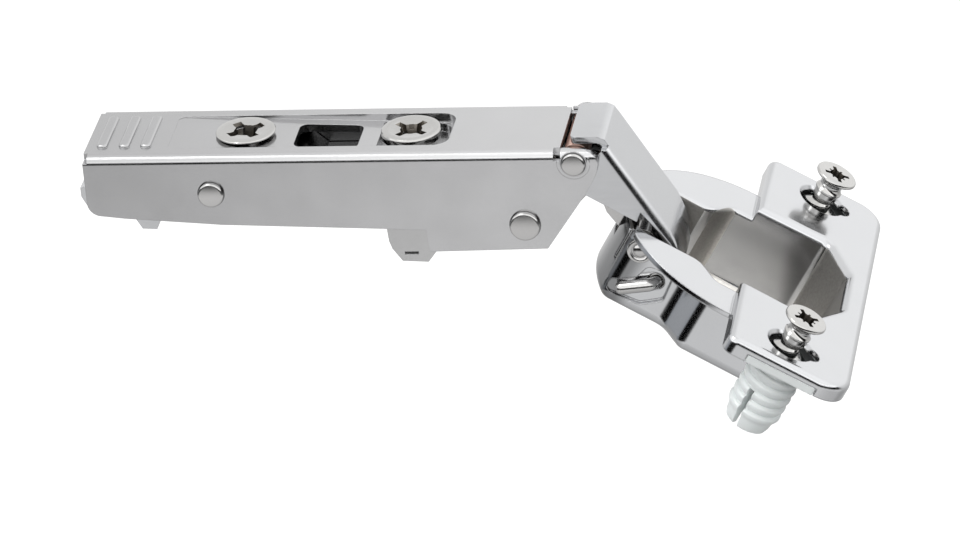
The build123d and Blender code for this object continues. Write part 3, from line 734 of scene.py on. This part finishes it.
def at_screw(side):
    """The axis of the fixing screw and dowel on that side of the cup."""
    return DOOR @ Matrix.Translation((SCREW_PLACE[0], side * SCREW_PLACE[1], 0))


def fixing_screw(turn):
    """A fixing screw whose cross is turned by that many degrees."""
    cross = driver_cutter(2.1, 0.32, 0.8, top=FIXING_TOP, depth=1.9, shrink=0.65, turn=turn)
    star = driver_cutter(1.5, 0.16, 0.7, top=FIXING_TOP, depth=1.2, shrink=0.8, turn=turn + 45)
    screw = combined(turned(FIXING_PROFILE), cross, "DIFFERENCE")
    screw = combined(screw, star, "DIFFERENCE")
    return added(screw, thread(root=1.5, crest=2.4, pitch=1.8, turns=5, bottom=-5.9))


for side, name, turn in ((-1, "fixing_screw_near", 30), (1, "fixing_screw_far", 20)):
    shape = fixing_screw(turn)
    piece(
        name + "_turned", shape, at_screw(side), "cup", screw_steel, (name,), recess_shaded_steel
    )

# Dowels: round fins on a shank that a slot splits from below, under a flat collar
DOWEL_DEPTH = 11.0
DOWEL_BORE = 1.92
FIN_TOP = -1.3
FIN_PITCH = 1.55
FIN_COUNT = 5
SLOT_SIZE = (9.0, 0.85, 7.0)
SLOT_MIDDLE = -8.0
SLOT_TURN = 60
COLLAR_REAR = -5.2
COLLAR_FRONT = 5.3
COLLAR_INNER = -4.4
COLLAR_OUTER = 5.5
COLLAR_TOP = 1.25
COLLAR_EDGE = 0.15
COLLAR_BORE = [(0, 3), (3.0, 3), (3.0, -3), (0, -3)]


def block(matrix):
    """A box one millimetre wide, put in place by a matrix."""
    shape = bmesh.new()
    bmesh.ops.create_cube(shape, size=1)
    bmesh.ops.transform(shape, matrix=matrix, verts=shape.verts)
    return shape


def finned_shank():
    profile = [(DOWEL_BORE, -4.0), (2.9, -2.0), (3.0, 0.2), (3.5, 0.2), (3.55, -1.0)]
    for fin in range(FIN_COUNT):
        top = FIN_TOP - FIN_PITCH * fin
        profile += [
            (3.5, top),
            (3.8, top - 0.12),
            (3.97, top - 0.4),
            (3.95, top - 0.75),
            (3.75, top - 1.15),
            (3.5, top - FIN_PITCH + 0.1),
        ]
    profile += [(3.45, -9.3), (3.3, -10.2), (3.05, -10.85), (2.8, -DOWEL_DEPTH)]
    profile += [(DOWEL_BORE, -DOWEL_DEPTH), profile[0]]
    return turned(profile, 64)


def dowel_collar(side):
    middle = (
        (COLLAR_REAR + COLLAR_FRONT) / 2,
        side * (COLLAR_INNER + COLLAR_OUTER) / 2,
        COLLAR_TOP / 2,
    )
    size = (COLLAR_FRONT - COLLAR_REAR, COLLAR_OUTER - COLLAR_INNER, COLLAR_TOP, 1.0)
    collar = block(Matrix.Translation(middle) @ Matrix.Diagonal(size))
    bmesh.ops.bevel(
        collar,
        geom=collar.edges,
        offset=COLLAR_EDGE,
        segments=3,
        profile=0.5,
        affect="EDGES",
        material=-1,
    )
    return combined(collar, turned(COLLAR_BORE, 64), "DIFFERENCE")


def dowel(side):
    """A dowel for that side of the cup, all of one material."""
    slot = block(
        Matrix.Rotation(math.radians(-side * SLOT_TURN), 4, "Z")
        @ Matrix.Translation((0, 0, SLOT_MIDDLE))
        @ Matrix.Diagonal((*SLOT_SIZE, 1.0))
    )
    shape = combined(finned_shank(), slot, "DIFFERENCE")
    shape = combined(shape, dowel_collar(side), "UNION")
    for face in shape.faces:
        face.material_index = 0
    return shape


for side, name in ((-1, "dowel_near"), (1, "dowel_far")):
    piece(name + "_moulded", dowel(side), at_screw(side), "cup", milky, (name,))

# Straight pin in the cup, riveted over on the near side
INNER_PIN_PROFILE = [
    (0, 8.78),
    (0.5, 8.74),
    (0.85, 8.62),
    (0.98, 8.5),
    (1.12, 8.48),
    (1.3, 8.62),
    (1.55, 8.68),
    (1.8, 8.6),
    (1.88, 8.42),
    (1.2, 8.42),
    (1.2, -8.3),
    (1.1, -8.35),
    (0, -8.35),
]
inner_pin = turned(INNER_PIN_PROFILE)
pin_place = DOOR @ Matrix.Translation((INNER_PIN_UW[0], 0, INNER_PIN_UW[1])) @ ACROSS
piece(
    "inner_link_pin_turned", inner_pin, pin_place, "cup", rivet_steel, ("inner_link_pin",)
)

# Pin with a bent end that lies in the cup's recess. BAR_END is where the bar ends, in the cup's u and w
PIN_HALF = 8.35
PIN_R = 1.25
BAR_END = (-14.0, -8.75)
BAR_DEPTH = 8.75
BAR_R = 0.95
BEND_R = 1.15
BEND_STEPS = 12


def corners_of(ring):
    """The corners of a ring of edges, and its middle."""
    verts = list({vert for edge in ring for vert in edge.verts})
    return verts, sum((vert.co for vert in verts), Vector()) / len(verts)


def drawn_out(shape, ring, steps):
    """A tube grown from an open ring by (move, size) steps. Gives the last ring."""
    for move, size in steps:
        grown = bmesh.ops.extrude_edge_only(shape, edges=ring)
        ring = edges_in(grown["geom"])
        verts = corners_of(ring)[0]
        bmesh.ops.translate(shape, verts=verts, vec=move)
        centre = Matrix.Translation(corners_of(ring)[1])
        bmesh.ops.scale(shape, verts=verts, vec=(size, size, size), space=centre.inverted())
    return ring


def bent_pin():
    run = Vector((BAR_END[0] - OUTER_PIN_UW[0], 0, BAR_END[1] - OUTER_PIN_UW[1]))
    along = run.normalized()
    outward = Vector((0, -1, 0))
    start = Matrix.Translation((OUTER_PIN_UW[0], PIN_HALF, OUTER_PIN_UW[1])) @ ACROSS
    shape = bmesh.new()
    made = bmesh.ops.create_circle(shape, segments=32, radius=PIN_R, matrix=start)
    shape.faces.new(made["verts"])
    straight = PIN_HALF + BAR_DEPTH - BEND_R
    steps = [(outward * straight, 1.0), (outward * 0.2, BAR_R / PIN_R)]
    ring = drawn_out(shape, list(shape.edges), steps)
    spun = bmesh.ops.spin(
        shape,
        geom=ring,
        cent=corners_of(ring)[1] + along * BEND_R,
        axis=outward.cross(along),
        angle=math.radians(90),
        steps=BEND_STEPS,
    )
    ring = edges_in(spun["geom_last"])
    length = run.length - 2 * BEND_R + 0.3
    steps = [(along * length, 1.0), (along * 0.45, 0.9), (along * 0.3, 0.72), (along * 0.15, 0.4)]
    ring = drawn_out(shape, ring, steps)
    bmesh.ops.holes_fill(shape, edges=ring)
    bmesh.ops.recalc_face_normals(shape, faces=shape.faces)
    return shape


piece("outer_link_pin_bent", bent_pin(), DOOR, "cup", rivet_steel, ("outer_link_pin",))

# Coil spring of the latch, with two legs: each has a start, an end and its place along the coil's axis
WIRE_R = 0.3
COIL_R = 1.55
COIL_HALF = 1.5
COIL_TURNS = 4.5
COIL_STEPS = 144
COIL_LEGS = (((-0.3, -1.6), (-8.0, -1.55), COIL_HALF), ((0.4, 1.5), (2.9, 1.9), -COIL_HALF))


def spring_leg(start, end, across):
    """A straight run of wire with rounded ends."""
    run = Vector((end[0] - start[0], 0, end[1] - start[1]))
    near = [(0, 0), (0.2, 0.02), (WIRE_R, 0.12)]
    far = [(radius, run.length - height) for radius, height in reversed(near)]
    leg = turned(near + far, 12)
    turn = Vector((0, 0, 1)).rotation_difference(run.normalized()).to_matrix().to_4x4()
    shift = Matrix.Translation((start[0], across, start[1]))
    bmesh.ops.transform(leg, matrix=ACROSS.inverted() @ shift @ turn, verts=leg.verts)
    return leg


def latch_coil():
    coil = bmesh.new()
    place = Matrix.Translation((COIL_R, 0, -COIL_HALF)) @ ACROSS
    wire = bmesh.ops.create_circle(coil, segments=12, radius=WIRE_R, matrix=place)
    bmesh.ops.spin(
        coil,
        geom=wire["verts"] + list(coil.edges),
        cent=(0, 0, 0),
        axis=(0, 0, 1),
        dvec=(0, 0, 2 * COIL_HALF / COIL_STEPS),
        angle=2 * math.pi * COIL_TURNS,
        steps=COIL_STEPS,
    )
    bmesh.ops.holes_fill(coil, edges=[edge for edge in coil.edges if edge.is_boundary])
    bmesh.ops.recalc_face_normals(coil, faces=coil.faces)
    for start, end, across in COIL_LEGS:
        coil = added(coil, spring_leg(start, end, across))
    return coil


latch_place = Matrix.Translation((LATCH_PIVOT[0], 0, LATCH_PIVOT[1])) @ ACROSS
piece(
    "latch_spring_wound",
    latch_coil(),
    latch_place,
    "latch_lever",
    spring_steel,
    ("latch_spring",),
)

# Stage: a pale floor below the object
FLOOR_HEIGHT = -0.09
FLOOR_HALF = 4.0
FLOOR_GREY = 0.25
FLOOR_SHOWN = 0.76


def make_floor():
    """A grey floor that shows pale to the camera and keeps the object's shadow."""
    mesh = bpy.data.meshes.new("floor")
    shape = bmesh.new()
    bmesh.ops.create_grid(shape, x_segments=1, y_segments=1, size=FLOOR_HALF)
    shape.to_mesh(mesh)
    shape.free()
    finish = Finish("floor")
    seen = finish.node("ShaderNodeLightPath", None, "Is Camera Ray")
    finish.set(
        {
            "Base Color": (FLOOR_GREY, FLOOR_GREY, FLOOR_GREY, 1.0),
            "Roughness": 0.9,
            "Specular IOR Level": 0.0,
            "Emission Color": finish.tinted((FLOOR_SHOWN, FLOOR_SHOWN, FLOOR_SHOWN), seen),
            "Emission Strength": 1.0,
        }
    )
    mesh.materials.append(finish.material)
    floor = bpy.data.objects.new("floor", mesh)
    floor.location = (0.0, 0.0, FLOOR_HEIGHT)
    floor.visible_glossy = False
    bpy.context.collection.objects.link(floor)


# World: (level, tone) from straight down at 0, through the horizon at 0.5, to straight up at 1
FRONT_ROOM = [
    (0.0, 0.3),
    (0.2, 0.42),
    (0.28, 0.51),
    (0.315, 0.42),
    (0.34, 0.03),
    (0.40, 0.0),
    (0.55, 0.0),
    (0.58, 0.5),
    (0.61, 1.0),
    (0.67, 0.95),
    (0.73, 0.72),
    (0.88, 0.78),
    (1.0, 0.6),
]
BACK_ROOM = [
    (0.0, 0.2),
    (0.3, 0.35),
    (0.47, 0.50),
    (0.6, 0.52),
    (0.74, 0.52),
    (0.88, 0.55),
    (1.0, 0.6),
]
ROOM_STRENGTH = 2.2
FAR_LEFT = (0.25, 0.26, 0.275, 1.0)
WHITE = (1.0, 1.0, 1.0, 1.0)


def make_world():
    """A studio with a dark band at the front's horizon and a bright one above. The camera sees white."""
    world = bpy.data.worlds.new("world")
    bpy.context.scene.world = world
    world.use_nodes = True
    studio = Network(world.node_tree)
    direction = studio.node("ShaderNodeTexCoord", None, "Generated")
    east, north, up = studio.split(direction)
    level = 0.5 + 0.5 * up
    behind = studio.smooth(north, -0.1, 0.3)
    left_low = studio.smooth(east, -0.45, -0.85) * studio.smooth(up, 0.2, -0.1)
    right_high = studio.smooth(east, -0.15, 0.35) * studio.smooth(up, 0.0, 0.3)
    far_left = studio.smooth(east, -0.90, -0.97)
    front = studio.mix(far_left, studio.ramp(level, FRONT_ROOM), FAR_LEFT)
    room = studio.mix(behind, front, studio.ramp(level, BACK_ROOM))
    strength = ROOM_STRENGTH * (1 - 0.3 * left_low) * (1 + 0.3 * right_high * behind)
    seen = studio.node("ShaderNodeLightPath", None, "Is Camera Ray")
    background = world.node_tree.nodes["Background"]
    studio.feed(background.inputs["Color"], studio.mix(seen, studio.tinted(room, strength), WHITE))
    background.inputs["Strength"].default_value = 1.0


def lamp(name, place, aim, size, power):
    """A square lamp, with its size in metres and its power in watts."""
    data = bpy.data.lights.new(name, "AREA")
    data.size = size
    data.energy = power
    thing = bpy.data.objects.new(name, data)
    thing.rotation_euler = (Vector(aim) - Vector(place)).to_track_quat("-Z", "Y").to_euler()
    thing.location = place
    bpy.context.collection.objects.link(thing)


make_floor()
make_world()
lamp("key", place=(-0.5, -0.4, 1.1), aim=(0.02, 0.0, 0.0), size=0.5, power=3.0)

bpy.context.scene.view_settings.view_transform = "Standard"
